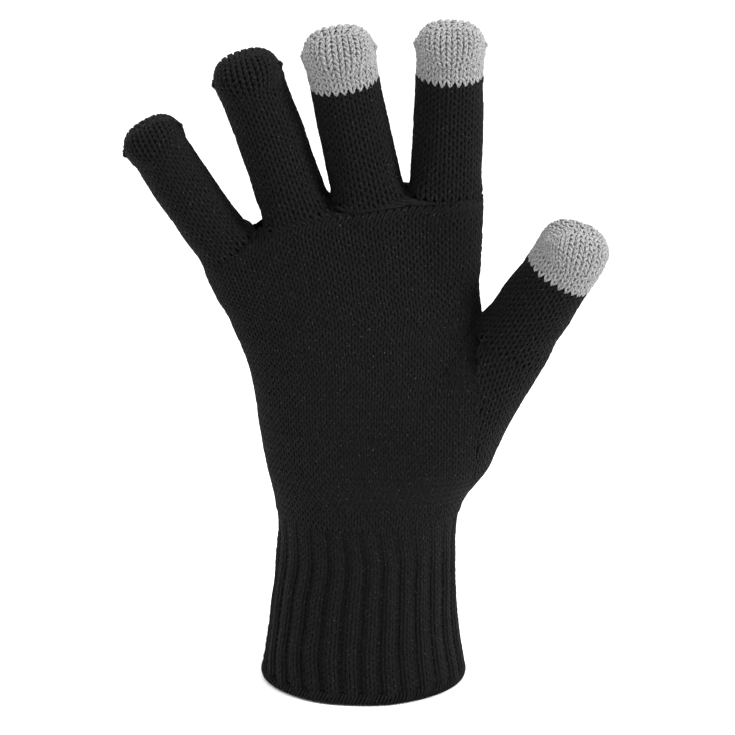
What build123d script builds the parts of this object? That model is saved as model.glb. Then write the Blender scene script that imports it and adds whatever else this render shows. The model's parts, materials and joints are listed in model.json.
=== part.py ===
from build123d import *

import os
from dataclasses import dataclass
from math import cos, radians, sin

# Knitted touchscreen glove for a right hand, in the shape it has when a hand fills it. Sizes in mm.
#
# +Z runs up the forearm and fingers, +X points to the thumb and -Y out of the palm. The origin is
# the centre of the cuff's mouth, and the glove stands on the cuff's edge at z = 0.
#
# A seamless knit has no hinges. Each place where a hand folds it is a gap between two knit tubes
# that turn about one axis: the lower tube ends in a hollow round that axis and the upper one in a
# round nose that fits the hollow, so the two never touch over the fold's travel.

# Driving dimensions
WALL = 2.0  # thickness of the knit
FOLD_GAP = 0.4  # clearance between a nose and its hollow
LAY_GAP = 0.05  # clearance of a yarn that lies against the knit
YARN = 1.2  # diameter of the yarns that close the tips and the crotches
ELASTIC = 0.9  # diameter of the covered rubber threads in the cuff
FAR = 70.0  # reach of a cut past what it cuts

EDGE_TOP = 4.0  # height of the overlocked edge
EDGE_PROUD = 0.6  # how far the overlocked edge stands out from the rib, inside and outside
RIB_TOP = 60.0
ELASTIC_ROWS = 7
ELASTIC_FIRST = 10.0
ELASTIC_PITCH = 7.5
ELASTIC_GAP = 0.5  # clearance between the threads and the rib

WRIST_FOLD = 84.0  # height of the wrist's fold
WRIST_HALF_DEPTH = 19.5
WRIST_FLEX = 50.0  # bend to either side, in degrees


@dataclass
class Oval:
    """An oval section of the hand: centre, width, depth, and tilt towards the little finger."""

    x: float
    z: float
    width: float
    depth: float
    tilt: float = 0.0

    def plane(self, drop=0.0):
        across = (cos(radians(self.tilt)), 0, sin(radians(self.tilt)))
        along = (-sin(radians(self.tilt)), 0, cos(radians(self.tilt)))
        return Plane(origin=(self.x, 0, self.z), x_dir=across, z_dir=along).offset(-drop)


CUFF = [
    Oval(-1.0, 0.0, 69.5, 52.0),
    Oval(-1.1, EDGE_TOP, 68.8, 51.4),
    Oval(-1.4, 14.0, 65.5, 48.5),
    Oval(-1.0, 30.0, 61.5, 45.0),
    Oval(-0.4, 46.0, 59.6, 43.0),
    Oval(0.6, RIB_TOP, 60.0, 42.0),
]
PALM = [
    Oval(0.6, RIB_TOP, 60.0, 42.0),
    Oval(1.2, 76.0, 67.0, 39.0),
    Oval(0.8, 92.0, 73.0, 36.0),
    Oval(-0.6, 108.0, 77.0, 33.5, 3.0),
    Oval(-3.4, 126.0, 82.0, 31.0, 7.0),
    Oval(-6.4, 146.0, 88.0, 28.0, 11.0),
    Oval(-7.4, 162.0, 86.0, 25.0, 13.0),
]
THUMB_ROOT = ((21.5, -3.0, 88.0), 17.5)  # centre and radius of the thumb's thick root


@dataclass
class Finger:
    """A finger of the glove. Distances run along it from its base, and angles are in degrees."""

    name: str
    base: tuple  # centre of the base, where the finger leaves the palm
    tilts: tuple  # tilt of each tube towards the thumb
    leans: tuple  # lean of each tube out of the palm
    folds: tuple  # distance of each fold from the base
    flexes: tuple  # bend that each fold has room for
    radii: tuple  # outer radius at the base, at the last fold and of the round tip
    length: float
    pieces: tuple  # names of the tubes, from the palm outwards
    turn: float = 0.0  # turn of the folds about the finger, out of the hand's plane

    def along(self, index):
        """Unit vector along one tube."""
        tilt, lean = radians(self.tilts[index]), radians(self.leans[index])
        return Vector(sin(tilt) * cos(lean), -sin(lean), cos(tilt) * cos(lean))

    def frame(self, index):
        """Frame with x and z across and along one tube, and its origin at the base."""
        tilt = radians(self.tilts[index])
        across = Vector(cos(tilt), 0, -sin(tilt))
        across = across.rotate(Axis((0, 0, 0), self.along(index)), self.turn)
        return Plane(origin=self.base, x_dir=across, z_dir=self.along(index))

    def fold(self, index):
        """Frame at a fold: x is the axis that the tube above it turns about."""
        frame = self.frame(index)
        marks = (0.0, *self.folds)
        for below in range(index + 1):
            frame.origin += self.along(max(below - 1, 0)) * (marks[below + 1] - marks[below])
        return frame

    def radius(self, distance):
        """Outer radius of the tube at a distance from the base."""
        share = min(max(distance / self.folds[-1], 0.0), 1.0)
        return self.radii[0] + (self.radii[1] - self.radii[0]) * share

    def hollow(self, index):
        """Radius of the hollow at a fold: wide enough for its bend."""
        below = (0.0, *self.folds)[index]
        return self.radius(below) / cos(radians(self.flexes[index] / 2))


LONG_FINGER = ("lower_sleeve", "upper_sleeve")
FINGERS = [
    Finger("index", (24.4, 0.0, 167.5), (1, 1, 1), (3, 8, 14), (13.4, 30.0, 43.5), (64, 74, 54),
           (11.2, 10.4, 10.6), 55.0, (*LONG_FINGER, "touch_cap")),
    Finger("middle", (0.4, 0.0, 165.5), (-12, -10, -8), (3, 8, 14), (13.4, 30.0, 43.5), (64, 74, 54),
           (11.2, 11.0, 11.1), 56.0, (*LONG_FINGER, "touch_cap")),
    Finger("ring", (-22.2, 0.0, 160.5), (-18, -20, -20), (3, 8, 14), (13.2, 29.5, 43.0), (64, 74, 54),
           (11.0, 10.3, 11.0), 55.0, (*LONG_FINGER, "tip_cap")),
    Finger("little", (-42.6, 0.0, 150.0), (-40, -35, -30), (3, 8, 14), (11.8, 26.2, 38.4), (64, 74, 54),
           (9.6, 9.0, 9.6), 49.0, (*LONG_FINGER, "tip_cap")),
    Finger("thumb", (47.2, -5.0, 117.6), (31, 29), (10, 14), (13.4, 32.5), (56, 70),
           (12.0, 11.4, 11.2), 47.0, ("sleeve", "touch_cap"), 40.0),
]
STUB = 26.0  # how far a finger's root runs down inside the palm
THUMB_STUB = 6.0
TIP_YARN_SPAN = 150.0  # degrees of the tip that its closing yarn spans
CROTCH_YARN_LENGTH = 9.0
THUMB_CROTCH = (33.0, 0.0, 117.5)


def loft_ovals(sections, inset, mode, top_inset=0.0):
    """Loft the sections, taken in by inset. The last one also drops by top_inset."""
    ovals = []
    for section in sections:
        drop = top_inset if section is sections[-1] else 0.0
        with BuildSketch(section.plane(drop)) as oval:
            Ellipse(section.width / 2 - inset, section.depth / 2 - inset)
        ovals.append(oval.sketch)
    loft(ovals, mode=mode)


def side_plane(fold):
    """Plane square to a fold's axis, with its y along the tube above the fold."""
    return Plane(origin=fold.origin, x_dir=fold.y_dir, z_dir=fold.x_dir)


def cut_hollow(fold, radius, width):
    """Cut away the tube above a fold, with a hollow for the next tube's nose."""
    with BuildSketch(side_plane(fold)) as above:
        Circle(radius)
        Rectangle(2 * FAR, FAR, align=(Align.CENTER, Align.MIN))
    extrude(above.sketch, width / 2, both=True, mode=Mode.SUBTRACT)


def cut_nose(fold, radius):
    """Cut the tube round below a fold, which leaves a nose."""
    with BuildSketch(side_plane(fold)) as below:
        Rectangle(4 * FAR, 2 * FAR, align=(Align.CENTER, Align.MAX))
        Circle(radius, mode=Mode.SUBTRACT)
    extrude(below.sketch, 2 * FAR, both=True, mode=Mode.SUBTRACT)


def cuff_oval(height):
    """The cuff's section at a height, between the two given ones."""
    low, high = next(pair for pair in zip(CUFF, CUFF[1:]) if height <= pair[1].z)
    share = (height - low.z) / (high.z - low.z)
    sizes = [a + (b - a) * share for a, b in ((low.x, high.x), (low.width, high.width),
                                              (low.depth, high.depth))]
    return Oval(sizes[0], height, sizes[1], sizes[2])


WRIST = Plane(origin=(0, 0, WRIST_FOLD), x_dir=(1, 0, 0), z_dir=(0, 0, 1))
WRIST_HOLLOW = WRIST_HALF_DEPTH / cos(radians(WRIST_FLEX / 2))

os.makedirs("parts", exist_ok=True)


# Overlocked edge of the cuff, which keeps the rib from running and is the rim that the hand enters
with BuildPart() as cuff_edge:
    with BuildSketch(CUFF[0].plane()):
        Ellipse(CUFF[0].width / 2 + EDGE_PROUD, CUFF[0].depth / 2 + EDGE_PROUD)
        mouth = WALL + EDGE_PROUD
        Ellipse(CUFF[0].width / 2 - mouth, CUFF[0].depth / 2 - mouth, mode=Mode.SUBTRACT)
    extrude(amount=EDGE_TOP)
cuff_edge.part.label = "cuff_overlock_edge"
export_step(cuff_edge.part, "parts/cuff_overlock_edge.step")

# Ribbed cuff, a tapering oval tube
with BuildPart() as cuff_rib:
    loft_ovals(CUFF[1:], 0.0, Mode.ADD)
    loft_ovals(CUFF[1:], WALL, Mode.SUBTRACT)
cuff_rib.part.label = "cuff_rib"
export_step(cuff_rib.part, "parts/cuff_rib.step")

# Covered rubber threads laid in behind the rib, one ring to a row
with BuildPart() as cuff_elastic:
    for row in range(ELASTIC_ROWS):
        oval = cuff_oval(ELASTIC_FIRST + row * ELASTIC_PITCH)
        inset = WALL + ELASTIC / 2 + ELASTIC_GAP
        with BuildLine(oval.plane()) as ring:
            EllipticalCenterArc((0, 0), oval.width / 2 - inset, oval.depth / 2 - inset, arc_size=360)
        with BuildSketch(Plane(origin=ring.line @ 0, z_dir=ring.line % 0)):
            Circle(ELASTIC / 2)
        sweep(path=ring.line)
cuff_elastic.part.label = "cuff_elastic_threads"
export_step(cuff_elastic.part, "parts/cuff_elastic_threads.step")

# Wrist tube between the rib and the wrist's fold
with BuildPart() as wrist_sleeve:
    loft_ovals(PALM[:4], 0.0, Mode.ADD)
    loft_ovals(PALM[:4], WALL, Mode.SUBTRACT)
    cut_hollow(WRIST, WRIST_HOLLOW, 4 * FAR)
wrist_sleeve.part.label = "wrist_sleeve"
export_step(wrist_sleeve.part, "parts/wrist_sleeve.step")

# Palm: one seamless bag from the wrist's fold to the fingers' first folds
with BuildPart() as palm_sleeve:
    for inset, mode in ((0.0, Mode.ADD), (WALL, Mode.SUBTRACT)):
        loft_ovals(PALM, inset, mode, top_inset=inset)
        for finger in FINGERS:
            stub = THUMB_STUB if finger.name == "thumb" else STUB
            with Locations(finger.frame(0).offset(-stub)):
                Cylinder(finger.radii[0] - inset, stub + finger.folds[0],
                         align=(Align.CENTER, Align.CENTER, Align.MIN), mode=mode)
        root_centre, root_radius = THUMB_ROOT
        thumb = FINGERS[-1]
        rise = Vector(*thumb.base) - Vector(*root_centre)
        with Locations(Plane(origin=root_centre, z_dir=rise)):
            Sphere(root_radius - inset, mode=mode)
            Cone(root_radius - inset, thumb.radii[0] - inset, rise.length,
                 align=(Align.CENTER, Align.CENTER, Align.MIN), mode=mode)
    cut_nose(WRIST, WRIST_HOLLOW - FOLD_GAP)
    for finger in FINGERS:
        cut_hollow(finger.fold(0), finger.hollow(0), 2 * (finger.radii[0] + FOLD_GAP))
palm_sleeve.part.label = "palm_sleeve"
export_step(palm_sleeve.part, "parts/palm_sleeve.step")

# Knit tubes of each finger, the last one closed by a round tip
for finger in FINGERS:
    for index, piece in enumerate(finger.pieces):
        last = index == len(finger.pieces) - 1
        fold = finger.fold(index)
        nose = finger.hollow(index) - FOLD_GAP
        low = finger.radius(finger.folds[index] - nose)
        high = finger.radii[2] if last else finger.radius(finger.folds[index + 1])
        end = finger.length - high if last else finger.folds[index + 1]
        reach = end - finger.folds[index]
        with BuildPart() as tube:
            for inset, mode in ((0.0, Mode.ADD), (WALL, Mode.SUBTRACT)):
                with Locations(fold.offset(-nose)):
                    Cone(low - inset, high - inset, nose + reach,
                         align=(Align.CENTER, Align.CENTER, Align.MIN), mode=mode)
                if last:
                    with Locations(fold.offset(reach)):
                        Sphere(high - inset, mode=mode)
            cut_nose(fold, nose)
            if not last:
                cut_hollow(finger.fold(index + 1), finger.hollow(index + 1), 4 * FAR)
        tube.part.label = f"{finger.name}_{piece}"
        export_step(tube.part, f"parts/{tube.part.label}.step")

# Closing yarn of each tip, drawn tight from one side over the top to the other
for finger in FINGERS:
    last = len(finger.folds) - 1
    tip = finger.fold(last).offset(finger.length - finger.radii[2] - finger.folds[last])
    with BuildPart() as tip_yarn:
        with BuildLine(side_plane(Plane(origin=tip.origin, x_dir=tip.y_dir, z_dir=tip.z_dir))) as arc:
            CenterArc((0, 0), finger.radii[2] + YARN / 2 + LAY_GAP, 90 - TIP_YARN_SPAN / 2, TIP_YARN_SPAN)
        with BuildSketch(Plane(origin=arc.line @ 0, z_dir=arc.line % 0)):
            Circle(YARN / 2)
        sweep(path=arc.line)
    tip_yarn.part.label = f"{finger.name}_tip_yarn"
    export_step(tip_yarn.part, f"parts/{tip_yarn.part.label}.step")

# Yarn ends darned in behind the crotches, one between each finger and the next
with BuildPart() as crotch_yarn:
    web = PALM[-1].plane(WALL + YARN / 2 + 2 * LAY_GAP)
    between = [(Vector(*a.base) + Vector(*b.base)) / 2 for a, b in zip(FINGERS[:3], FINGERS[1:4])]
    places = [Plane(origin=web.from_local_coords((web.to_local_coords(point).X, 0, 0)),
                    x_dir=web.x_dir, z_dir=(0, 1, 0)) for point in between]
    places.append(Plane(origin=THUMB_CROTCH, z_dir=(0, 1, 0)))
    for place in places:
        with Locations(place):
            Cylinder(YARN / 2, CROTCH_YARN_LENGTH)
    fillet(crotch_yarn.edges().filter_by(GeomType.CIRCLE), YARN / 4)
crotch_yarn.part.label = "crotch_yarn_ends"
export_step(crotch_yarn.part, "parts/crotch_yarn_ends.step")
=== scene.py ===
import json
import math
import bpy
import numpy as np
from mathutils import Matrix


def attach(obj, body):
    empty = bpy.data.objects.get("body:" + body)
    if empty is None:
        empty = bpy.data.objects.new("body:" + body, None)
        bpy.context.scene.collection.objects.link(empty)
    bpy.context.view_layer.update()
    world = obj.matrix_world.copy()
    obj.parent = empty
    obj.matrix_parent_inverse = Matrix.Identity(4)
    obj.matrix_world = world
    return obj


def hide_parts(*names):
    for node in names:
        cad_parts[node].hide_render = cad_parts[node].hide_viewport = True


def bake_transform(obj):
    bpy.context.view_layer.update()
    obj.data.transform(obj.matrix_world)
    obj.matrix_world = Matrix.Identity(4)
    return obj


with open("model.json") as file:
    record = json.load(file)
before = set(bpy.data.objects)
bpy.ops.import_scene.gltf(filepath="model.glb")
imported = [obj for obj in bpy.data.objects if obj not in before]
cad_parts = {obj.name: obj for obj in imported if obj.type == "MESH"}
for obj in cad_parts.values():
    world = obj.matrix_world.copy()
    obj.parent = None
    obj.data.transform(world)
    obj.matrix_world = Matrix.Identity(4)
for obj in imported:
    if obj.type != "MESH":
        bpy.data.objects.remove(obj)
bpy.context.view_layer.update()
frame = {"nodes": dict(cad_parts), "record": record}

# ---- The hand that fills the glove ---------------------------------------------------------------
# A knitted glove has no shape of its own: it takes that of the hand or form inside it. This section
# holds that form, which isn't shown: an oval wrist and palm, a thick thumb root and five round
# digits. Everything below is in millimetres, and a piece turns to metres when its mesh is made.
MM = 0.001
KNIT_IN = 0.75  # the yarn's middle lies this far inside the glove's outer face
joints = {joint["name"]: joint for joint in frame["record"]["behaviour"]["joints"]}


def unit(vectors):
    return vectors / np.maximum(np.linalg.norm(vectors, axis=-1, keepdims=True), 1e-9)


def pivot(joint_name):
    return np.array(joints[joint_name]["pos_m"]) / MM


def curve(at, places, values):
    """Smooth curve through values at places."""
    places, values = np.array(places, float), np.array(values, float)
    slopes = np.gradient(values, places)
    at = np.clip(at, places[0], places[-1])
    k = np.clip(np.searchsorted(places, at) - 1, 0, len(places) - 2)
    gap = places[k + 1] - places[k]
    s = (at - places[k]) / gap
    return ((1 + 2 * s) * (1 - s) ** 2 * values[k] + s * (1 - s) ** 2 * gap * slopes[k]
            + s ** 2 * (3 - 2 * s) * values[k + 1] + s ** 2 * (s - 1) * gap * slopes[k + 1])


def smooth_step(x):
    x = np.clip(x, 0, 1)
    return x * x * (3 - 2 * x)


class Digit:
    """One finger or the thumb. Distances run along it from its base, where it leaves the palm."""

    def __init__(self, name, first_fold, radii, length, tip_tilt, twist=0.0, bow=(0, 0, 0, 0, 0, 0)):
        self.name, self.radii, self.length, self.twist = name, radii, length, twist
        self.parts = ["base", "tip"] if name == "thumb" else ["base", "middle", "tip"]
        folds = [pivot(f"{name}_{part}_flex") for part in self.parts]
        first = unit(folds[1] - folds[0])
        gaps = [np.linalg.norm(b - a) for a, b in zip(folds, folds[1:])]
        self.folds = list(np.cumsum([first_fold] + gaps))
        tilt, lean = math.radians(tip_tilt), math.radians(14)
        last = np.array([math.sin(tilt) * math.cos(lean), -math.sin(lean), math.cos(tilt) * math.cos(lean)])
        self.base = folds[0] - first * first_fold
        self.marks = [-70.0, 0.0] + self.folds + [length + 20.0]
        self.points = np.array([self.base - 70.0 * first, self.base] + folds
                               + [folds[-1] + last * (length + 20.0 - self.folds[-1])])
        across = unit(np.cross(np.array([0.0, 1.0, 0.0]), first))
        self.points += across * np.array(bow[:len(self.points)])[:, None]
        self.base = self.points[1]
        self.dome = length - radii[2]

    def centre(self, t):
        return np.stack([np.interp(t, self.marks, self.points[:, k]) for k in range(3)], -1)

    def frame(self, t):
        """Directions outwards to the thumb side, to the back of the hand, and along."""
        along = unit(self.centre(np.asarray(t) + 4.0) - self.centre(np.asarray(t) - 4.0))
        side = unit(np.cross(np.array([0.0, 1.0, 0.0]), along))
        return side, np.cross(along, side), along

    def radius(self, t):
        base, narrow, tip = self.radii
        return np.interp(t, [0, self.folds[-1], self.dome], [base, narrow, tip])

    def field(self, p):
        """Distance outside the digit's round form."""
        nearest = np.full(p.shape[:-1], 1e9)
        marks = [-22.0, 0.0] + self.folds + [self.dome]
        ends = self.centre(np.array(marks))
        for k in range(len(marks) - 1):
            run = ends[k + 1] - ends[k]
            share = np.clip(((p - ends[k]) @ run) / (run @ run), 0, 1)
            gap = np.linalg.norm(p - ends[k] - share[..., None] * run, axis=-1)
            gap -= self.radius(marks[k] + share * (marks[k + 1] - marks[k]))
            nearest = np.minimum(nearest, gap)
        return nearest


# Bow is how far the knit lies to the thumb's side of the bending axis at the marks along a digit
index = Digit("index", 13.4, (11.2, 10.5, 10.7), 55.0, 1, bow=(0.3, 0.3, 0.3, 0.3, 0.3, 0.3))
middle = Digit("middle", 13.4, (11.3, 11.0, 11.2), 56.0, -7)
ring = Digit("ring", 13.2, (10.9, 10.4, 10.8), 55.0, -16)
little = Digit("little", 11.8, (9.5, 9.2, 9.7), 49.0, -28, bow=(-1.2, -1.9, -1.2, 0.8, 2.0, 2.2))
thumb = Digit("thumb", 13.4, (12.0, 11.4, 11.3), 47.0, 28, twist=22.0,
              bow=(-0.5, -1.6, -2.0, -2.4, -2.4))
fingers = [index, middle, ring, little]
digits = fingers + [thumb]

# Sections of the wrist and palm: height, centre x, half width and half depth
HEIGHTS = [0, 5, 14, 30, 46, 60, 76, 92, 108, 124, 138, 150, 162]
CENTRES = [-1.2, -1.3, -1.5, -0.9, -0.3, 0.2, 0.7, 0.0, -0.6, -3.4, -7.8, -9.2, -9.3]
HALF_WIDTHS = [34.2, 33.7, 32.2, 30.3, 29.6, 30.1, 33.6, 35.6, 37.2, 40.4, 42.8, 44.2, 44.5]
HALF_DEPTHS = [26.0, 25.5, 24.2, 22.4, 21.4, 21.0, 19.6, 18.2, 16.9, 15.6, 14.4, 13.4, 12.4]
ROOT_START = np.array([24.0, -3.0, 88.5])
ROOT_RADIUS = 18.8
WEB = 3.5  # softness of the crotches


def crotch_height(x):
    """Height at which the fingers leave the palm."""
    left = little.base - little.frame(0.0)[0] * little.radii[0]
    right = index.base + index.frame(0.0)[0] * index.radii[0]
    points = [left] + [finger.base for finger in reversed(fingers)] + [right]
    return curve(x, [point[0] for point in points], [point[2] for point in points])


def web_height(p):
    """Height at which the palm's oval ends: at the crotches, and higher up inside each finger."""
    height = crotch_height(p[..., 0]) + 0.5
    for finger in fingers:
        side = finger.frame(0.0)[0]
        beside = ((p - finger.base) @ side) / finger.radii[0]
        height = height + 11.0 * np.clip(1 - beside ** 2, 0, 1)
    return height


def soft_min(a, b, soft):
    share = np.clip(0.5 + 0.5 * (b - a) / soft, 0, 1)
    return b * (1 - share) + a * share - soft * share * (1 - share)


def palm_field(p):
    x, y, z = p[..., 0], p[..., 1], p[..., 2]
    a, b = curve(z, HEIGHTS, HALF_WIDTHS), curve(z, HEIGHTS, HALF_DEPTHS)
    across, out = (x - curve(z, HEIGHTS, CENTRES)) / a, y / b
    size = np.sqrt(across ** 2 + out ** 2)
    slope = np.sqrt((across / a) ** 2 + (out / b) ** 2)
    side = size * (size - 1) / np.maximum(slope, 1e-6)
    palm = -soft_min(-side, web_height(p) - z, 4.0)
    run = thumb.base - ROOT_START
    share = np.clip(((p - ROOT_START) @ run) / (run @ run), 0, 1)
    root = np.linalg.norm(p - ROOT_START - share[..., None] * run, axis=-1)
    root -= ROOT_RADIUS + (thumb.radii[0] - ROOT_RADIUS) * share
    return soft_min(palm, root, 12.0 - 9.0 * smooth_step((z - 96) / 18))


def hand_field(p, members=digits):
    palm = palm_field(p)
    whole = palm
    for digit in members:
        whole = np.minimum(whole, soft_min(palm, digit.field(p), WEB))
    return whole + KNIT_IN


def leave(path, reach, field, step=1.0):
    """Distance at which each ray of a bundle leaves the form."""
    found = None
    last = field(path(0.0))
    for r in np.arange(step, reach + step, step):
        now = field(path(r))
        if found is None:
            found = np.full(now.shape, float(reach))
        out = (found >= reach) & (last < 0) & (now >= 0)
        found[out] = r - step * (now / (now - last))[out]
        last = now
    return found


# ---- Knit ------------------------------------------------------------------------------------------
# The glove is knitted in one piece from 10-gauge acrylic yarn. Each course is one yarn that runs
# round as a row of loops, drawn through the loops of the course below. A Fabric is the surface
# that the loops lie on, and its lattice of half wales and half courses holds where each one goes.
COURSE = 2.2  # height of a course
WALE = 2.55  # width of a wale where the knit isn't stretched


rng = np.random.default_rng(7)


def lumps(rows, columns, wraps, size=11):
    """Smooth random values over a lattice, for the uneven tension of real knit."""
    coarse = rng.normal(0, 1, (rows // size + 3, max(columns // size, 3) + 1))
    if wraps:
        coarse[:, -1] = coarse[:, 0]
    y, x = np.linspace(0, coarse.shape[0] - 1.001, rows), np.linspace(0, coarse.shape[1] - 1.001, columns)
    j, i = y.astype(int)[:, None], x.astype(int)[None]
    b, a = smooth_step(y[:, None] - j), smooth_step(x[None] - i)
    low = coarse[j, i] * (1 - a) + coarse[j, i + 1] * a
    return low * (1 - b) + (coarse[j + 1, i] * (1 - a) + coarse[j + 1, i + 1] * a) * b


class Fabric:
    """Lattice of points at half wales and half courses, with the outward direction at each."""

    def __init__(self, points, rough_out, wraps, first_wale=0.0, first_row=0):
        self.wraps, self.first_wale, self.first_row = wraps, first_wale, first_row
        points = points + rough_out * (0.16 * lumps(*points.shape[:2], wraps))[..., None]
        self.points = points
        ring = np.concatenate([points[:, -2:-1], points, points[:, 1:2]], 1) if wraps else points
        across, up = np.gradient(ring, axis=1), np.gradient(ring, axis=0)
        normals = unit(np.cross(across, up))
        normals = normals[:, 1:-1] if wraps else normals
        weak = np.sum(normals * rough_out, -1, keepdims=True) < 0.25
        self.normals = np.where(weak, rough_out, normals)

    def at(self, wale, course):
        """Point and outward direction at a wale and course."""
        u = (wale - self.first_wale) * 2
        v = np.clip((course - self.first_row) * 2, 0, self.points.shape[0] - 1.001)
        last = self.points.shape[1] - 1
        u = np.mod(u, last) if self.wraps else np.clip(u, 0, last - 0.001)
        i, j = u.astype(int), v.astype(int)
        i = np.minimum(i, last - 1)
        a, b = (u - i)[..., None], (v - j)[..., None]
        result = []
        for grid in (self.points, self.normals):
            result.append((grid[j, i] * (1 - a) + grid[j, i + 1] * a) * (1 - b)
                          + (grid[j + 1, i] * (1 - a) + grid[j + 1, i + 1] * a) * b)
        return result[0], unit(result[1])


POINTS_PER_LOOP = 10


def plain_row(row, first, last, per_loop=POINTS_PER_LOOP, sway=0.25, reach=0.96, depth=0.45):
    """One course of plain knit from wale first to last: its wale, course and lift at each point."""
    count = (last - first) * per_loop
    t = np.arange(count + 1) / per_loop
    wander = np.interp(t, np.arange(last - first + 1), rng.normal(0, 1, last - first + 1))
    wobble = np.interp(t, np.arange(last - first + 1), rng.normal(0, 1, last - first + 1))
    wale = first + t + sway * np.sin(4 * math.pi * t)
    course = row + 0.5 - (reach + 0.03 * wander) * np.cos(2 * math.pi * t) + 0.05 * wobble
    lift = -depth * np.cos(4 * math.pi * t) + 0.06 * wander
    return wale, course, lift


def rib_row(row, first, last, relief=1.0):
    """One course of two-by-one rib: two face wales stand up, and a reverse wale sinks behind them."""
    wale, course, lift = plain_row(row, first, last, sway=0.23, depth=0.0)
    t = np.arange(len(wale)) / POINTS_PER_LOOP
    face = np.interp(t % 3, [0, 0.15, 1.85, 2.15, 2.85, 3.0], [0, 1, 1, -1, -1, 0])
    ridge = np.cos(2 * math.pi * (t - 1) / 3)
    return wale, course, 0.55 * relief * ridge - 0.35 * face * np.cos(4 * math.pi * t) + lift


def strand(fabric, path, closed):
    wale, course, lift = path
    points, out = fabric.at(wale, course)
    points = points + out * lift[:, None]
    return (points[:-1], out[:-1], True) if closed else (points, out, False)


def thread(points, out, closed, radius, sides, offset=0.0, turns=0.0, phase=0.0, row=0):
    """Tube round a line of points. With an offset, one ply that winds round the line."""
    if closed:
        ahead, behind = np.roll(points, -1, 0), np.roll(points, 1, 0)
    else:
        ahead = np.concatenate([points[1:], points[-1:]])
        behind = np.concatenate([points[:1], points[:-1]])
    along = unit(ahead - behind)
    side = unit(np.cross(along, out))
    face = np.cross(side, along)
    steps = np.linalg.norm(ahead - points, axis=1)
    length = np.concatenate([[0.0], np.cumsum(steps)[:-1]])
    whole = max(steps.sum(), 1e-6)
    if offset:
        angle = (2 * math.pi * turns * length / whole + phase)[:, None]
        points = points + offset * (np.cos(angle) * side + np.sin(angle) * face)
    spread = 2 * math.pi * np.arange(sides) / sides
    ring = np.cos(spread)[None, :, None] * side[:, None] + np.sin(spread)[None, :, None] * face[:, None]
    verts = (points[:, None] + radius * ring).reshape(-1, 3)
    count = len(points)
    rows = np.arange(count if closed else count - 1)
    i, k = np.meshgrid(rows, np.arange(sides), indexing="ij")
    i2, k2 = (i + 1) % count, (k + 1) % sides
    quads = np.stack([i * sides + k, i * sides + k2, i2 * sides + k2, i2 * sides + k], -1).reshape(-1, 4)
    u0 = length[i] + 131.7 * row
    u1 = length[i] + steps[i] + 131.7 * row
    uv = np.stack([np.stack([u0, k / sides], -1), np.stack([u0, (k + 1) / sides], -1),
                   np.stack([u1, (k + 1) / sides], -1), np.stack([u1, k / sides], -1)], 2).reshape(-1, 2)
    if not closed:
        caps = []
        for start, flip in ((0, True), ((count - 1) * sides, False)):
            for a in range(1, sides - 2, 2):
                cap = [start, start + a, start + a + 1, start + a + 2]
                caps.append(cap[::-1] if flip else cap)
        quads = np.concatenate([quads, np.array(caps)])
        uv = np.concatenate([uv, np.zeros((4 * len(caps), 2))])
    return verts, quads, uv


def make_piece(name, parts, material):
    """One object from (points, quads, uv) parts in millimetres."""
    starts = np.cumsum([0] + [len(part[0]) for part in parts[:-1]])
    verts = np.concatenate([part[0] for part in parts]) * MM
    quads = np.concatenate([part[1] + start for part, start in zip(parts, starts)])
    uv = np.concatenate([part[2] for part in parts])
    mesh = bpy.data.meshes.new(name)
    mesh.vertices.add(len(verts))
    mesh.vertices.foreach_set("co", verts.astype(np.float32).ravel())
    mesh.loops.add(quads.size)
    mesh.loops.foreach_set("vertex_index", quads.astype(np.int32).ravel())
    mesh.polygons.add(len(quads))
    mesh.polygons.foreach_set("loop_start", np.arange(0, quads.size, 4, dtype=np.int32))
    mesh.polygons.foreach_set("use_smooth", np.ones(len(quads), dtype=bool))
    mesh.update(calc_edges=True)
    mesh.uv_layers.new(name="yarn").data.foreach_set("uv", uv.astype(np.float32).ravel())
    mesh.validate()
    mesh.materials.append(material)
    piece = bpy.data.objects.new(name, mesh)
    bpy.context.scene.collection.objects.link(piece)
    return piece


FIBRE_RADIUS = 0.03


def loose_fibres(strands, count):
    """Fine curled fibre ends that stand out from the yarn, each a thin closed prism."""
    pick = rng.integers(0, sum(len(line[0]) for line in strands), count)
    root = np.concatenate([line[0] for line in strands])[pick]
    up = np.concatenate([line[1] for line in strands])[pick]
    heading = unit(0.75 * up + unit(rng.normal(0, 1, (count, 3))))
    curl = unit(np.cross(heading, rng.normal(0, 1, (count, 3))))
    side = np.cross(heading, curl)
    length = rng.uniform(0.8, 2.3, (count, 1, 1))
    s = np.linspace(0, 1, 5)[None, :, None]
    line = root[:, None] + 0.3 * up[:, None] + length * (heading[:, None] * s + 0.5 * curl[:, None] * s * s)
    corners = np.stack([curl, side, -curl, -side], 1)[:, None]
    verts = (line[:, :, None] + FIBRE_RADIUS * corners * (1 - 0.5 * s[..., None])).reshape(-1, 3)
    k = np.arange(4)
    walls = np.stack([k, (k + 1) % 4, (k + 1) % 4 + 4, k + 4], -1)
    walls = (walls[None] + 4 * np.arange(4)[:, None, None]).reshape(-1, 4)
    one = np.concatenate([walls, [[3, 2, 1, 0], [16, 17, 18, 19]]])
    quads = (one[None] + 20 * np.arange(count)[:, None, None]).reshape(-1, 4)
    uv = np.repeat(np.stack([pick * 0.37, pick * 0.11], -1), one.size, 0)
    return verts, quads, uv


BLACK_RADIUS = 0.6
FIBRES_PER_LOOP = 0.9


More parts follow.
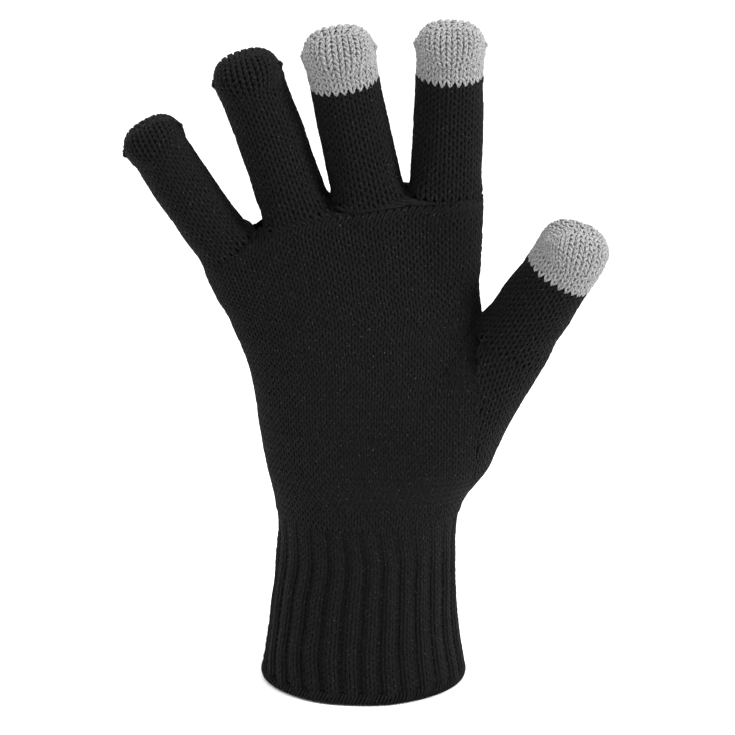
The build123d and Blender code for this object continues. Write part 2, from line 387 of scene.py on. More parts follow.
def black_yarn(strands):
    """Black yarn along strands, drawn as one round tube each with its loose fibres."""
    loops = sum(len(line[0]) for line in strands) / POINTS_PER_LOOP
    tubes = [thread(*line, BLACK_RADIUS, 6, row=k) for k, line in enumerate(strands)]
    return tubes + [loose_fibres(strands, int(loops * FIBRES_PER_LOOP))]


def add_node(tree, kind, inputs=None, **settings):
    """One shader node, with its settings, values and links."""
    node = tree.nodes.new(kind)
    for key, value in settings.items():
        setattr(node, key, value)
    for key, value in (inputs or {}).items():
        if isinstance(value, bpy.types.NodeSocket):
            tree.links.new(value, node.inputs[key])
        else:
            node.inputs[key].default_value = value
    return node


def linear(code):
    """Linear colour of an sRGB hex code."""
    values = [int(code[k:k + 2], 16) / 255 for k in (1, 3, 5)]
    return [v / 12.92 if v <= 0.04045 else ((v + 0.055) / 1.055) ** 2.4 for v in values] + [1.0]


def ramp(node, *stops):
    """Set a colour ramp's stops, each a place and a colour."""
    elements = node.color_ramp.elements
    while len(elements) < len(stops):
        elements.new(0.5)
    for element, (place, colour) in zip(elements, stops):
        element.position = place
        element.color = colour


PLY_PITCH = 3.0  # length of one turn of the yarn's two plies
WAVE_UNIT = 2 * math.pi / 10  # a diagonal wave texture repeats each 2 pi / 10


def spun_yarn(name, dark, mid, light, fleck_and_glint, fleck_and_glint_from, sheen, rough, twist_depth):
    """Spun two-ply yarn: colour that wanders from fibre to fibre, twisted plies and fine fibres."""
    material = bpy.data.materials.new(name)
    material.use_nodes = True
    tree = material.node_tree
    shader = tree.nodes["Principled BSDF"]
    uv = add_node(tree, "ShaderNodeUVMap", uv_map="yarn").outputs[0]
    fibre = add_node(tree, "ShaderNodeMapping", {"Vector": uv, "Rotation": (0, 0, 0.25),
                                                 "Scale": (1.6, 7.0, 1.0)}).outputs[0]
    tone = add_node(tree, "ShaderNodeTexNoise", {"Vector": fibre, "Scale": 1.0, "Detail": 4.0,
                                                 "Roughness": 0.65}).outputs["Fac"]
    shade = add_node(tree, "ShaderNodeValToRGB", {"Fac": tone})
    ramp(shade, (0.3, linear(dark)), (0.5, linear(mid)), (0.72, linear(light)))
    # Pale flecks: on the grey melange its pale fibres, on the black yarn painted glints of fibres that
    # catch the light
    fleck_glint_place = add_node(tree, "ShaderNodeMapping", {"Vector": uv, "Scale": (2.2, 5.0, 1.0),
                                                 "Location": (37.0, 11.0, 0.0)}).outputs[0]
    fleck_glint_noise = add_node(tree, "ShaderNodeTexNoise", {"Vector": fleck_glint_place, "Scale": 1.0,
                                                  "Detail": 2.0}).outputs["Fac"]
    fleck_glint_mask = add_node(tree, "ShaderNodeValToRGB", {"Fac": fleck_glint_noise})
    ramp(fleck_glint_mask, (fleck_and_glint_from, (0, 0, 0, 1)), (fleck_and_glint_from + 0.05, (1, 1, 1, 1)))
    colour = add_node(tree, "ShaderNodeMix", {"Factor": fleck_glint_mask.outputs["Color"], "A": shade.outputs["Color"],
                                              "B": linear(fleck_and_glint)}, data_type="RGBA")
    colour_mix = colour.outputs["Result"]
    tree.links.new(colour_mix, shader.inputs["Base Color"])
    plies = add_node(tree, "ShaderNodeMapping", {"Vector": uv, "Scale": (WAVE_UNIT / PLY_PITCH,
                                                                         WAVE_UNIT * 2, 0.0)}).outputs[0]
    twist = add_node(tree, "ShaderNodeTexWave", {"Vector": plies, "Scale": 1.0, "Distortion": 0.4,
                                                 "Detail": 1.0}, bands_direction="DIAGONAL").outputs["Fac"]
    plies_bump = add_node(tree, "ShaderNodeBump", {"Height": twist, "Strength": twist_depth,
                                                   "Distance": 0.12 * MM}).outputs[0]
    hair = add_node(tree, "ShaderNodeMapping", {"Vector": uv, "Rotation": (0, 0, 0.35),
                                                "Scale": (2.5, 16.0, 1.0)}).outputs[0]
    hairs = add_node(tree, "ShaderNodeTexNoise", {"Vector": hair, "Scale": 1.0,
                                                  "Detail": 3.0}).outputs["Fac"]
    bump = add_node(tree, "ShaderNodeBump", {"Height": hairs, "Strength": 0.5, "Distance": 0.08 * MM,
                                             "Normal": plies_bump}).outputs[0]
    tree.links.new(bump, shader.inputs["Normal"])
    matte = add_node(tree, "ShaderNodeMapRange", {"Value": tone, "To Min": rough - 0.08,
                                                  "To Max": rough + 0.06}).outputs[0]
    tree.links.new(matte, shader.inputs["Roughness"])
    shader.inputs["IOR"].default_value = 1.49
    shader.inputs["Specular IOR Level"].default_value = 0.15
    shader.inputs["Sheen Weight"].default_value = sheen
    shader.inputs["Sheen Roughness"].default_value = 0.45
    shader.inputs["Sheen Tint"].default_value = linear(light)
    return material


# Black acrylic, spun soft and matt: nearly no gloss, a faint sheen of loose fibres at grazing angles
# Its pale flecks are painted glints: loose fibres that catch the light
black_acrylic = spun_yarn("black_acrylic_spun_yarn", "#020202", "#080808", "#202020", "#464646", 0.67,
                          sheen=0.16, rough=0.9, twist_depth=0.5)

# Reverse side of the knit, seen inside the cuff and through the loops: the black yarn, darker as painted
# shade
# It lies behind the grey tips too, where it paints dark shade between their stitches
painted_shade_ground = bpy.data.materials.new("knit_ground_painted_shade")
painted_shade_ground.use_nodes = True
shade_ground_tree = painted_shade_ground.node_tree
shade_ground_uv = add_node(shade_ground_tree, "ShaderNodeUVMap", uv_map="yarn").outputs[0]
purl = add_node(shade_ground_tree, "ShaderNodeTexVoronoi", {"Vector": shade_ground_uv, "Scale": 1.0 / WALE,
                                                      "Randomness": 0.35}, feature="SMOOTH_F1")
# Each purl bump is darker towards its edge: painted shade between the bumps
purl_shade = add_node(shade_ground_tree, "ShaderNodeValToRGB", {"Fac": purl.outputs["Distance"]})
ramp(purl_shade, (0.1, linear("#0b0b0b")), (0.8, linear("#040404")))
shade_ground_shader = shade_ground_tree.nodes["Principled BSDF"]
shade_ground_tree.links.new(purl_shade.outputs["Color"], shade_ground_shader.inputs["Base Color"])
purl_bump = add_node(shade_ground_tree, "ShaderNodeBump", {"Height": purl.outputs["Distance"], "Strength": 0.8,
                                                     "Distance": -0.5 * MM})
shade_ground_tree.links.new(purl_bump.outputs[0], shade_ground_shader.inputs["Normal"])
shade_ground_shader.inputs["Roughness"].default_value = 0.95
shade_ground_shader.inputs["Specular IOR Level"].default_value = 0.15


GROUND_DEPTH = 0.45  # how far the ground lies behind the middle of the loops
GROUND_THICKNESS = 0.9


def shade_ground_shell(name, fabric, low, high, keep=None):
    """Dark closed ground of the knit behind its loops, course low to high: painted shade between them."""
    first, last = int(round((low - fabric.first_row) * 2)), int(round((high - fabric.first_row) * 2))
    points = (fabric.points - fabric.normals * GROUND_DEPTH)[first:last + 1]
    rows, columns = points.shape[:2]
    j, i = np.meshgrid(np.arange(rows - 1), np.arange(columns - 1), indexing="ij")
    quads = np.stack([j * columns + i, j * columns + i + 1, (j + 1) * columns + i + 1,
                      (j + 1) * columns + i], -1)
    if keep is not None:
        inside = keep[first:last + 1]
        quads = quads[inside[:-1, :-1] | inside[1:, 1:]]
    quads = quads.reshape(-1, 4)
    flat = points.reshape(-1, 3)
    grid = np.stack([(quads % columns) * WALE / 2, (quads // columns) * COURSE / 2], -1).reshape(-1, 2)
    used, renumbered = np.unique(quads, return_inverse=True)
    piece = make_piece(name, [(flat[used], renumbered.reshape(-1, 4), grid)], painted_shade_ground)
    bpy.context.view_layer.objects.active = piece
    weld = piece.modifiers.new("weld", "WELD")
    weld.merge_threshold = 0.01 * MM
    thick = piece.modifiers.new("thickness", "SOLIDIFY")
    thick.thickness = GROUND_THICKNESS * MM
    thick.offset = -1.0
    for modifier in (weld, thick):
        bpy.ops.object.modifier_apply(modifier=modifier.name)
    return piece


# ---- Fingers ---------------------------------------------------------------------------------------
# A knitting machine makes the fingers first, each as a tube of 26 wales that starts at the tip. Over
# the rounded tip the tube's front and back close on a line from side to side, a little towards the
# palm, and the fabric left over at its two ends stands out as small ears.
FINGER_WALES = 26
SEAM_HALF_ANGLE = math.radians(70)
SEAM_FORWARD = math.radians(16)
GREY_LENGTH = 17.5


def digit_fabric(digit, wales, root_rows=1):
    """Fabric of a digit: rows along its tube, then rows that close over its tip."""
    tube_rows = int(round(digit.dome / COURSE))
    tip_rows = int(round(0.5 * math.pi * digit.radii[2] / COURSE))
    total = tube_rows + tip_rows
    v = np.arange(-root_rows * 2, total * 2 + 1) / 2
    theta = 2 * math.pi * np.arange(wales * 2 + 1) / (wales * 2)
    t = np.minimum(v, tube_rows) * digit.dome / tube_rows
    side, back, along = digit.frame(t)
    centre = digit.centre(t)
    twist = math.radians(digit.twist)
    side, back = (side * math.cos(twist) + back * math.sin(twist),
                  back * math.cos(twist) - side * math.sin(twist))
    ray = np.cos(theta)[None, :, None] * side[:, None] + np.sin(theta)[None, :, None] * back[:, None]
    field = lambda p: hand_field(p, [digit])
    flare = np.interp(t, [0, 7], [2.5, 1.0])[:, None]
    hit = leave(lambda r: centre[:, None] + r * ray, 16.0, field, 0.5)
    hit = np.minimum(hit, digit.radius(t)[:, None] - KNIT_IN + flare)
    # Over the tip each wale follows the arc from the tube's end to its place on the closing line
    close = np.clip((v - tube_rows) / tip_rows, 0, 1)[:, None, None]
    angle = np.cos(theta) * SEAM_HALF_ANGLE
    end = np.stack([np.sin(angle), -np.cos(angle) * math.sin(SEAM_FORWARD),
                    np.cos(angle) * math.cos(SEAM_FORWARD)], -1)[None]
    start = np.stack([np.cos(theta), np.sin(theta), 0 * theta], -1)[None]
    span = np.arccos(np.clip(np.sum(start * end, -1, keepdims=True), -0.999, 0.999))
    arc = (np.sin((1 - close) * span) * start + np.sin(close * span) * end) / np.sin(span)
    a, c = arc[..., 0], np.maximum(arc[..., 2], 0)
    square = np.sqrt(a ** 2 + c ** 2) / np.maximum((np.abs(a) ** 3 + c ** 3) ** (1 / 3), 1e-6)
    ear = 1 + 0.07 * np.abs(np.cos(theta)[None]) ** 6 * close[..., 0] ** 2
    size = (digit.radii[2] - KNIT_IN) * ear
    dome = (side[:, None] * (arc[..., :1] * square[..., None]) + back[:, None] * arc[..., 1:2]
            + along[:, None] * (arc[..., 2:] * square[..., None]))
    over = v[:, None, None] > tube_rows
    points = centre[:, None] + np.where(over, size[..., None] * dome, hit[..., None] * ray)
    rough = np.where(over, unit(dome), ray)
    fabric = Fabric(points, rough, True, first_row=-root_rows)
    fabric.rows, fabric.tube_rows = total, tube_rows
    fabric.reach = digit.dome / tube_rows
    return fabric


def crossing(piece, digit, low, high):
    """Bake a piece of a digit into place; its centres at two distances from the base are found but unused.
    """
    start, end = digit.centre(low) * MM, digit.centre(high) * MM
    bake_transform(piece)


def digit_zones(digit):
    """Distances that bound the piece round each fold, end to end along the digit."""
    cuts = [digit.folds[0] * 0.36]
    for here, there in zip(digit.folds, digit.folds[1:]):
        cuts.append(here + (there - here) * 0.505)
    cuts.append(digit.folds[-1] + (digit.folds[-1] - cuts[-1]) * 1.1)
    return cuts


PLY_RADIUS = 0.36
PLY_OFFSET = 0.2  # distance of each ply from the middle of the yarn


def conductive_yarn(strands):
    """Grey yarn along strands, drawn as its two plies, which wind round each other."""
    parts = []
    for k, line in enumerate(strands):
        closed = line[2]
        ahead = np.roll(line[0], -1, 0) if closed else line[0][1:]
        length = np.linalg.norm(ahead - line[0][:len(ahead)], axis=1).sum()
        turns = max(round(length / PLY_PITCH), 1)
        for phase in (0.0, math.pi):
            parts.append(thread(*line, PLY_RADIUS, 6, PLY_OFFSET, turns, phase, row=k + 40 * phase))
    return parts + [loose_fibres(strands, 14 * len(strands))]


# Grey conductive yarn: acrylic spun with fine metal-coated fibre, a mix of light and dark grey
# that leaves a soft silvery sheen
grey_melange = spun_yarn("grey_conductive_melange_yarn", "#4e4e4e", "#8c8c8c", "#b6b6b6", "#d2d2d2", 0.68,
                         sheen=0.1, rough=0.75, twist_depth=0.4)

fabrics = {}
for digit in fingers:
    fabric = digit_fabric(digit, FINGER_WALES)
    fabrics[digit.name] = fabric
    cuts = digit_zones(digit)
    bounds = [0.0] + cuts[1:-1] + [digit.length + 20]
    grey_from = digit.length - GREY_LENGTH if digit in (index, middle) else 1e9
    middles = [(row + 0.5) * fabric.reach for row in range(fabric.rows)]
    labels = ["root_knit", "middle_knit", "end_knit"]
    sleeves = ["lower_sleeve", "upper_sleeve", "tip_cap"]
    for fold, label in enumerate(labels):
        rows = [row for row, t in enumerate(middles)
                if bounds[fold] <= t < bounds[fold + 1] and t < grey_from]
        if rows:
            lines = [strand(fabric, plain_row(row, 0, FINGER_WALES), True) for row in rows]
            piece = make_piece(f"{digit.name}_{label}", black_yarn(lines), black_acrylic)
            crossing(piece, digit, cuts[fold], cuts[fold + 1])
            node = f"{digit.name}_{sleeves[fold]}"
            if node in frame["nodes"]:
                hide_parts(node)
        whole = [row for row, t in enumerate(middles) if bounds[fold] <= t < bounds[fold + 1]]
        back = shade_ground_shell(f"{digit.name}_{label}_reverse", fabric, whole[0], whole[-1] + 1)
        crossing(back, digit, cuts[fold], cuts[fold + 1])
    grey_rows = [row for row, t in enumerate(middles) if t >= grey_from]
    if grey_rows:
        lines = [strand(fabric, plain_row(row, 0, FINGER_WALES, per_loop=16), True)
                 for row in grey_rows]
        piece = make_piece(f"{digit.name}_touch_knit", conductive_yarn(lines), grey_melange)
        crossing(piece, digit, cuts[2], cuts[3])
        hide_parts(f"{digit.name}_touch_cap")

# ---- Thumb -----------------------------------------------------------------------------------------
# The thumb is a tube of 28 wales. Below its crotch the tube opens out over the thick root of the
# thumb and its wales run down to the wrist, where they meet those of the palm along a slanting line.
THUMB_WALES = 28
ROOT_WALES = 24  # wales to each side of the thumb's outer edge that its root may need
ROOT_ROWS = 26
web_x, web_z = np.meshgrid(np.linspace(30, 50, 60), np.arange(112, 140, 0.25))
web_field = hand_field(np.stack([web_x, 0 * web_x - 2.0, web_z], -1))
web_row = int(np.nonzero((web_field > 0).any(1))[0][0])
SPLIT_LOW = (33.2, 62.0)
SPLIT_HIGH = (float(web_x[0, np.argmax(web_field[web_row])]), float(web_z[web_row, 0]))


def palm_side(points):
    """How far a point lies to the palm's side of the line where palm and thumb root meet."""
    line = np.interp(points[..., 2], [SPLIT_LOW[1], SPLIT_HIGH[1]], [SPLIT_LOW[0], SPLIT_HIGH[0]])
    return np.where(points[..., 2] < SPLIT_HIGH[1], line - points[..., 0], 1.0)


def even_columns(sections, outs, wanted):
    """Resample each section line at wanted distances along it."""
    points, rough = [], []
    for section, out, places in zip(sections, outs, wanted):
        gaps = np.linalg.norm(np.diff(section, axis=0), axis=1)
        length = np.concatenate([[0.0], np.cumsum(gaps)])
        points.append(np.stack([np.interp(places, length, section[:, k]) for k in range(3)], -1))
        rough.append(unit(np.stack([np.interp(places, length, out[:, k]) for k in range(3)], -1)))
    return np.array(points), np.array(rough)


thumb_fabric = digit_fabric(thumb, THUMB_WALES)
root_v = np.arange(-ROOT_ROWS * 2, 3) / 2
root_t = root_v * thumb_fabric.reach
root_side, root_back, _ = thumb.frame(root_t)
root_centre = thumb.centre(root_t)
halves = []
for sign in (-1, 1):
    sweep = np.linspace(0, math.radians(170), 120) * sign
    ray = (np.cos(sweep)[None, :, None] * root_side[:, None]
           + np.sin(sweep)[None, :, None] * root_back[:, None])
    hit = leave(lambda r: root_centre[:, None] + r * ray, 48.0, lambda p: hand_field(p, [thumb]))
    section = root_centre[:, None] + hit[..., None] * ray
    places = [np.arange(1 if sign > 0 else 0, ROOT_WALES * 2 + 1) / 2 * WALE] * len(root_v)
    halves.append(even_columns(section, ray, places))
root_points = np.concatenate([halves[0][0][:, ::-1], halves[1][0]], 1)
root_rough = np.concatenate([halves[0][1][:, ::-1], halves[1][1]], 1)
root_fabric = Fabric(root_points, root_rough, False, first_wale=-ROOT_WALES)


def kept_runs(fabric, row, first, last, keep):
    """Runs of neighbouring wales of a course whose middles are kept."""
    wales = np.arange(first, last)
    middle_points = fabric.at(wales + 0.5, np.full(len(wales), row + 0.5))[0]
    kept = keep(middle_points)
    runs, start = [], None
    for wale, inside in zip(wales, kept):
        if inside and start is None:
            start = wale
        if not inside and start is not None:
            runs.append((start, wale))
            start = None
    if start is not None:
        runs.append((start, last))
    return runs


def root_keep(points):
    return (palm_side(points) < 0.4) & (points[..., 2] > 61.0)


WRIST_SPLIT_ROW = 20  # rows of the root above this one clear the wrist's bend
thumb_cuts = digit_zones(thumb)
root_lines = {False: [], True: []}
for row in range(ROOT_ROWS):
    for first, last in kept_runs(root_fabric, row, -ROOT_WALES, ROOT_WALES, root_keep):
        line = strand(root_fabric, plain_row(row, first, last), False)
        root_lines[row >= WRIST_SPLIT_ROW].append(line)
root_mask = root_keep(root_points)

heel = make_piece("thumb_heel_knit", black_yarn(root_lines[False]), black_acrylic)
heel_back = shade_ground_shell("thumb_heel_knit_reverse", root_fabric, 0, WRIST_SPLIT_ROW, root_mask)
for piece in (heel, heel_back):
    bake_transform(piece)

thumb_middles = [(row + 0.5) * thumb_fabric.reach for row in range(thumb_fabric.rows)]
thumb_grey_from = thumb.length - GREY_LENGTH
lower_rows = [row for row, t in enumerate(thumb_middles) if t < thumb_cuts[1]]
upper_rows = [row for row, t in enumerate(thumb_middles) if thumb_cuts[1] <= t < thumb_grey_from]
grey_rows = [row for row, t in enumerate(thumb_middles) if t >= thumb_grey_from]
lines = root_lines[True] + [strand(thumb_fabric, plain_row(row, 0, THUMB_WALES), True)
                            for row in lower_rows]
thumb_root = make_piece("thumb_root_knit", black_yarn(lines), black_acrylic)
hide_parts("thumb_sleeve")
lines = [strand(thumb_fabric, plain_row(row, 0, THUMB_WALES), True) for row in upper_rows]
thumb_upper = make_piece("thumb_upper_knit", black_yarn(lines), black_acrylic)
lines = [strand(thumb_fabric, plain_row(row, 0, THUMB_WALES, per_loop=16), True) for row in grey_rows]
thumb_touch = make_piece("thumb_touch_knit", conductive_yarn(lines), grey_melange)
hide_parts("thumb_touch_cap")
thumb_backs = [shade_ground_shell("thumb_ball_knit_reverse", root_fabric, WRIST_SPLIT_ROW, ROOT_ROWS + 1, root_mask),
               shade_ground_shell("thumb_root_knit_reverse", thumb_fabric, 0, len(lower_rows)),
               shade_ground_shell("thumb_end_knit_reverse", thumb_fabric, len(lower_rows), thumb_fabric.rows)]
for piece in (thumb_root, thumb_backs[0], thumb_backs[1]):
    crossing(piece, thumb, thumb_cuts[0], thumb_cuts[1])
for piece in (thumb_upper, thumb_touch, thumb_backs[2]):
    crossing(piece, thumb, thumb_cuts[1], thumb_cuts[2])

# ---- Palm and wrist --------------------------------------------------------------------------------
# Palm and wrist are one tube of 84 wales that takes up the four finger tubes at the crotches and
# the thumb's below its own. Its courses rise towards the index finger, as the crotches do.
PALM_WALES = 42  # to each side of the little finger's edge
PALM_LOW, PALM_TOP = 60.0, 163.0
PALM_ROWS = int(round((PALM_TOP - PALM_LOW) / COURSE))
palm_v = PALM_LOW + (PALM_TOP - PALM_LOW) * np.arange(-2, PALM_ROWS * 2 + 3) / (PALM_ROWS * 2)
palm_centre = curve(palm_v, HEIGHTS, CENTRES)


def palm_height(v, x):
    """Height of a palm course at x."""
    return v + smooth_step((v - 90) / (PALM_TOP - 90)) * (crotch_height(x) - PALM_TOP)


def palm_form(p):
    """The hand, with the gaps between the fingers bridged so that a course can run past them."""
    x, z = p[..., 0], p[..., 2]
    across = (x - curve(z, HEIGHTS, CENTRES)) / (curve(z, HEIGHTS, HALF_WIDTHS) - 3.0)
    bridge = (np.sqrt(across ** 2 + (p[..., 1] / 5.0) ** 2) - 1) * 4.0
    return np.minimum(hand_field(p), np.where(z > 135, bridge, 9.0))


palm_halves = []
for sign in (1, -1):
    sweep = math.pi - sign * np.linspace(0, math.pi, 150)
    across, out = np.cos(sweep)[None], -np.abs(np.sin(sweep))[None] * sign

    def palm_path(r):
        x = palm_centre[:, None] + r * across
        return np.stack([x, r * out + 0 * x, palm_height(palm_v[:, None], x)], -1)

    hit = leave(palm_path, 75.0, palm_form)
    section = palm_path(hit)
    rough = np.stack([across + 0 * hit, out + 0 * hit, 0 * hit], -1)
    places = []
    for line in section:
        gaps = np.linalg.norm(np.diff(line, axis=0), axis=1)
        length = np.concatenate([[0.0], np.cumsum(gaps)])
        across_line = palm_side(line)
        beyond = np.nonzero(across_line < 0)[0]
        whole = length[-1]
        if len(beyond):
            before = across_line[beyond[0] - 1], across_line[beyond[0]]
            part = before[0] / (before[0] - before[1]) * gaps[beyond[0] - 1]
            whole = length[beyond[0] - 1] + part
        places.append(whole * np.arange(PALM_WALES * 2 + 1) / (PALM_WALES * 2))
    whole_lengths = np.array([place[-1] for place in places])
    for _ in range(8):
        padded = np.concatenate([whole_lengths[:1], whole_lengths, whole_lengths[-1:]])
        whole_lengths = (padded[:-2] + padded[1:-1] + padded[2:]) / 3
    places = [length * np.arange(PALM_WALES * 2 + 1) / (PALM_WALES * 2) for length in whole_lengths]
    palm_halves.append(even_columns(section, rough, places))
palm_points = np.concatenate([palm_halves[1][0][:, ::-1], palm_halves[0][0][:, 1:]], 1)
palm_rough = np.concatenate([palm_halves[1][1][:, ::-1], palm_halves[0][1][:, 1:]], 1)
palm_fabric = Fabric(palm_points, palm_rough, False, first_wale=-PALM_WALES, first_row=-1)


PALM_MARGIN = 0.9  # how far outside the hand a palm loop may lie


def palm_keep(points):
    """A palm loop is left out where a finger's own tube has begun."""
    inside = hand_field(points) < PALM_MARGIN
    for digit in fingers:
        side, _, along = digit.frame(0.0)
        local = points - digit.base
        beside = np.abs(local @ side) < digit.radii[0] + 0.5
        inside &= ~((local @ along > 0.5) & beside)
    return inside


palm_mask = hand_field(palm_points) < PALM_MARGIN
row_splits = {"wrist_knit": (0, 17), "palm_lower_knit": (17, 32), "palm_upper_knit": (32, PALM_ROWS)}
for name, (low, high) in row_splits.items():
    lines = []
    for row in range(low, high):
        for first, last in kept_runs(palm_fabric, row, -PALM_WALES, PALM_WALES, palm_keep):
            lines.append(strand(palm_fabric, plain_row(row, first, last), False))
    piece = make_piece(name, black_yarn(lines), black_acrylic)
    back = shade_ground_shell(f"{name}_reverse", palm_fabric, low, high, palm_mask)
    for part in (piece, back):
        if name == "wrist_knit":
            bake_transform(part)
        else:
            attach(part, "palm")
    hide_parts("wrist_sleeve" if name == "wrist_knit" else "palm_sleeve")

# ---- Ribbed cuff -----------------------------------------------------------------------------------
# The cuff is two-by-one rib on the palm's 84 wales: 28 ridges of two wales that face outwards, and
# between them a reverse wale each, which sinks in and draws the ridges together.
CUFF_WALES = 84
CUFF_ROWS = 29
CUFF_FOOT = 2.0
cuff_v = CUFF_FOOT + (PALM_LOW - CUFF_FOOT) * np.arange(-1, CUFF_ROWS * 2 + 2) / (CUFF_ROWS * 2)
cuff_drift = 0.45 * lumps(len(cuff_v), CUFF_WALES * 2 + 1, True, 30)
cuff_sweep = np.linspace(0, 2 * math.pi, 361)
cuff_rough = np.stack([np.cos(cuff_sweep), np.sin(cuff_sweep), 0 * cuff_sweep], -1)
cuff_sections, cuff_places = [], []
for z, drift in zip(cuff_v, cuff_drift):
    a, b = curve(z, HEIGHTS, HALF_WIDTHS) - KNIT_IN - 0.3, curve(z, HEIGHTS, HALF_DEPTHS) - KNIT_IN - 0.3
    section = np.stack([curve(z, HEIGHTS, CENTRES) + a * np.cos(cuff_sweep), b * np.sin(cuff_sweep),
                        z + 0 * cuff_sweep], -1)
    cuff_sections.append(section)
    around = np.linalg.norm(np.diff(section, axis=0), axis=1).sum()
    cuff_places.append(around * np.arange(CUFF_WALES * 2 + 1) / (CUFF_WALES * 2) + drift - drift[0])
cuff_points, cuff_out = even_columns(cuff_sections, [cuff_rough] * len(cuff_v), cuff_places)
cuff_fabric = Fabric(cuff_points, cuff_out, True, first_row=-0.5)
for name, low, high in (("cuff_lower_rib", 0, 15), ("cuff_upper_rib", 15, CUFF_ROWS)):
    fade = np.interp(range(low, high), [CUFF_ROWS - 10, CUFF_ROWS - 1], [1.0, 0.1])
    lines = [strand(cuff_fabric, rib_row(row, 0, CUFF_WALES, soft), True)
             for row, soft in zip(range(low, high), fade)]
    piece = make_piece(name, black_yarn(lines), black_acrylic)
    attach(piece, "cuff")
    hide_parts("cuff_rib")
cuff_back = shade_ground_shell("cuff_rib_reverse", cuff_fabric, 0, CUFF_ROWS)
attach(cuff_back, "cuff")

# ---- Overlocked edge -------------------------------------------------------------------------------
# A black textured thread is overlocked round the edge of the cuff, so that the rib can't run. It
# wraps over the edge turn by turn and leaves a low, close-set bead.
EDGE_TURNS = 150
EDGE_RADIUS = 0.42
edge_t = np.arange(EDGE_TURNS * 12) / (EDGE_TURNS * 12)
edge_turn = 2 * math.pi * EDGE_TURNS * edge_t
edge_wale = CUFF_WALES * edge_t + 0.25 * np.sin(edge_turn)
edge_base, edge_out = cuff_fabric.at(edge_wale, np.zeros(len(edge_t)))
edge_points = edge_base + edge_out * (0.1 + 1.1 * np.cos(edge_turn))[:, None]
edge_points[:, 2] = 2.1 + 1.6 * np.sin(edge_turn)
edge = make_piece("cuff_overlock", [thread(edge_points, edge_out, True, EDGE_RADIUS, 6)], black_acrylic)
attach(edge, "cuff")
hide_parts("cuff_overlock_edge")

# ---- Closing yarns ---------------------------------------------------------------------------------
# The last loops of each tip are drawn together by their own yarn, which is laced from side to side
# over the tip. Its ends are knotted at the ears and trimmed short.
for digit in digits:
    fabric = thumb_fabric if digit is thumb else fabrics[digit.name]
    wales = THUMB_WALES if digit is thumb else FINGER_WALES
    grey = digit in (index, middle, thumb)
    lace = np.linspace(0.03, 0.97, 90)
    front, out = fabric.at(wales - lace * wales / 2, np.full(90, float(fabric.rows)))
    zigzag = np.sin(lace * wales * math.pi)
    cross = unit(np.cross(np.gradient(front, axis=0), out))
    rise = 0.25 + 0.15 * np.cos(2 * lace * wales)
    line = front + cross * (0.75 * zigzag)[:, None] + out * rise[:, None]
    lines = [(line, out, False)]
    for end, heading in ((0, -1), (-1, 1)):
        t = np.linspace(0, 1, 18)[:, None]
        tangent = unit(np.gradient(front, axis=0))[end] * heading
        knot = (front[end] + tangent * (1.1 * t - 0.7) + out[end] * (0.3 + 0.5 * np.cos(10 * t))
                + cross[end] * (0.5 * np.sin(10 * t)))
        lines.append((knot, np.repeat(tangent[None], 18, 0), False))
    if grey:
        piece = make_piece(f"{digit.name}_closing_yarn", conductive_yarn(lines), grey_melange)
    else:
        piece = make_piece(f"{digit.name}_closing_yarn", black_yarn(lines), black_acrylic)
    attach(piece, f"{digit.name}_tip")
    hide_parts(f"{digit.name}_tip_yarn")

# ---- Hidden yarns ----------------------------------------------------------------------------------
# Covered rubber threads run behind the rib, and the yarn ends of the crotches are darned in behind
# them. Both keep their exact form from the frame and take a yarn finish.
covered_rubber = bpy.data.materials.new("black_covered_rubber_thread")
covered_rubber.use_nodes = True
rubber_tree = covered_rubber.node_tree
rubber_place = add_node(rubber_tree, "ShaderNodeTexCoord").outputs["Object"]
# Cover windings lie 0.5 mm apart
wraps = add_node(rubber_tree, "ShaderNodeTexWave", {"Vector": rubber_place, "Scale": 0.314 / (0.5 * MM),
                                                    "Distortion": 1.0}, bands_direction="DIAGONAL")
wrap_shade = add_node(rubber_tree, "ShaderNodeValToRGB", {"Fac": wraps.outputs["Fac"]})
ramp(wrap_shade, (0.2, linear("#0a0a0b")), (0.8, linear("#1c1c1e")))
rubber_shader = rubber_tree.nodes["Principled BSDF"]
rubber_tree.links.new(wrap_shade.outputs["Color"], rubber_shader.inputs["Base Color"])
wrap_bump = add_node(rubber_tree, "ShaderNodeBump", {"Height": wraps.outputs["Fac"], "Strength": 0.6,
                                                     "Distance": 0.1 * MM})
rubber_tree.links.new(wrap_bump.outputs[0], rubber_shader.inputs["Normal"])
rubber_shader.inputs["Roughness"].default_value = 0.7
for node in ("cuff_elastic_threads", "crotch_yarn_ends"):
    mesh_object = frame["nodes"][node]
    for slot in mesh_object.material_slots:
        slot.material = covered_rubber

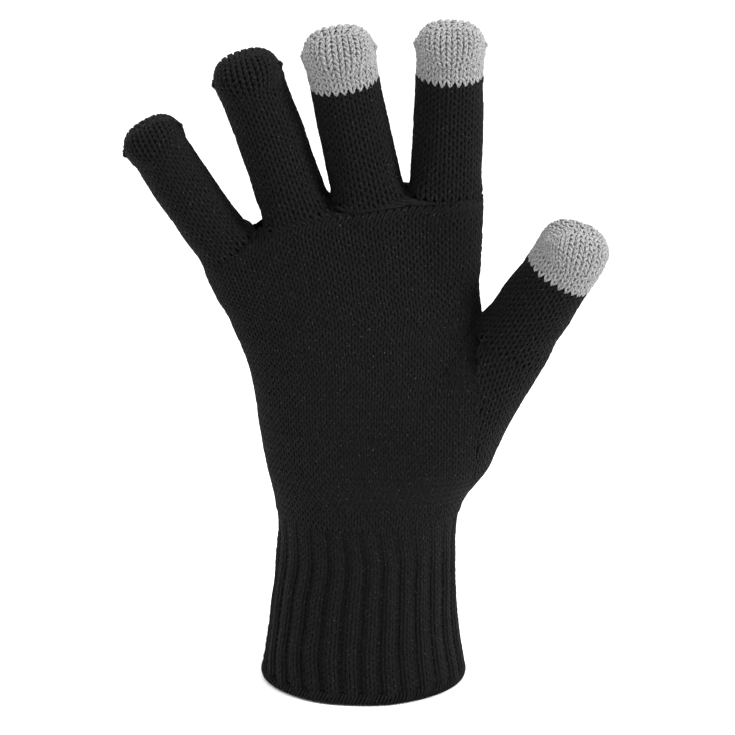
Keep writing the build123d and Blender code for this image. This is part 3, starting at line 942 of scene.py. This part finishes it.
# ---- Stage -----------------------------------------------------------------------------------------
# A plain pale floor under soft studio light, brighter from the thumb's side, and a long lens that
# looks a little down on the standing glove.
floor_mesh = bpy.data.meshes.new("floor")
FLOOR = 3.0
floor_mesh.from_pydata([(-FLOOR, -FLOOR, 0), (FLOOR, -FLOOR, 0), (FLOOR, FLOOR, 0), (-FLOOR, FLOOR, 0)], [],
                       [(0, 1, 2, 3)])
floor = bpy.data.objects.new("floor", floor_mesh)
bpy.context.scene.collection.objects.link(floor)
pale = bpy.data.materials.new("pale_studio_paper")
pale.use_nodes = True
pale.node_tree.nodes["Principled BSDF"].inputs["Base Color"].default_value = linear("#fbfbfb")
pale.node_tree.nodes["Principled BSDF"].inputs["Roughness"].default_value = 0.9
floor_mesh.materials.append(pale)

world = bpy.data.worlds.new("studio")
world.use_nodes = True
world.node_tree.nodes["Background"].inputs["Color"].default_value = (1, 1, 1, 1)
world.node_tree.nodes["Background"].inputs["Strength"].default_value = 0.32
bpy.context.scene.world = world
bpy.context.scene.view_settings.view_transform = "Standard"

for name, place, size, power in (("key", (0.85, -0.4, 0.85), 0.25, 17.0),
                                 ("fill", (-0.9, 0.1, 0.5), 0.5, 5.0),
                                 ("overhead", (0.0, 0.3, 2.0), 3.0, 70.0)):
    light = bpy.data.lights.new(name, "AREA")
    light.energy, light.size = power, size
    lamp = bpy.data.objects.new(name, light)
    lamp.location = place
    bpy.context.scene.collection.objects.link(lamp)
    aim = bpy.data.objects.new(f"{name}_aim", None)
    aim.location = (0, 0.3 if name == "overhead" else 0, 0.11)
    bpy.context.scene.collection.objects.link(aim)
    track = lamp.constraints.new("TRACK_TO")
    track.target, track.track_axis, track.up_axis = aim, "TRACK_NEGATIVE_Z", "UP_Y"

CAMERA_RISE = math.radians(19)
CAMERA_DISTANCE = 0.8
AIM_HEIGHT = 0.1084
camera_data = bpy.data.cameras.new("camera")
camera_data.sensor_width = 36.0
camera_data.lens = 36.0 * 2480.0 / 735.0
camera = bpy.data.objects.new("camera", camera_data)
camera.location = (0, -CAMERA_DISTANCE * math.cos(CAMERA_RISE),
                   AIM_HEIGHT + CAMERA_DISTANCE * math.sin(CAMERA_RISE))
camera.rotation_euler = (math.pi / 2 - CAMERA_RISE, 0, 0)
bpy.context.scene.collection.objects.link(camera)
bpy.context.scene.camera = camera
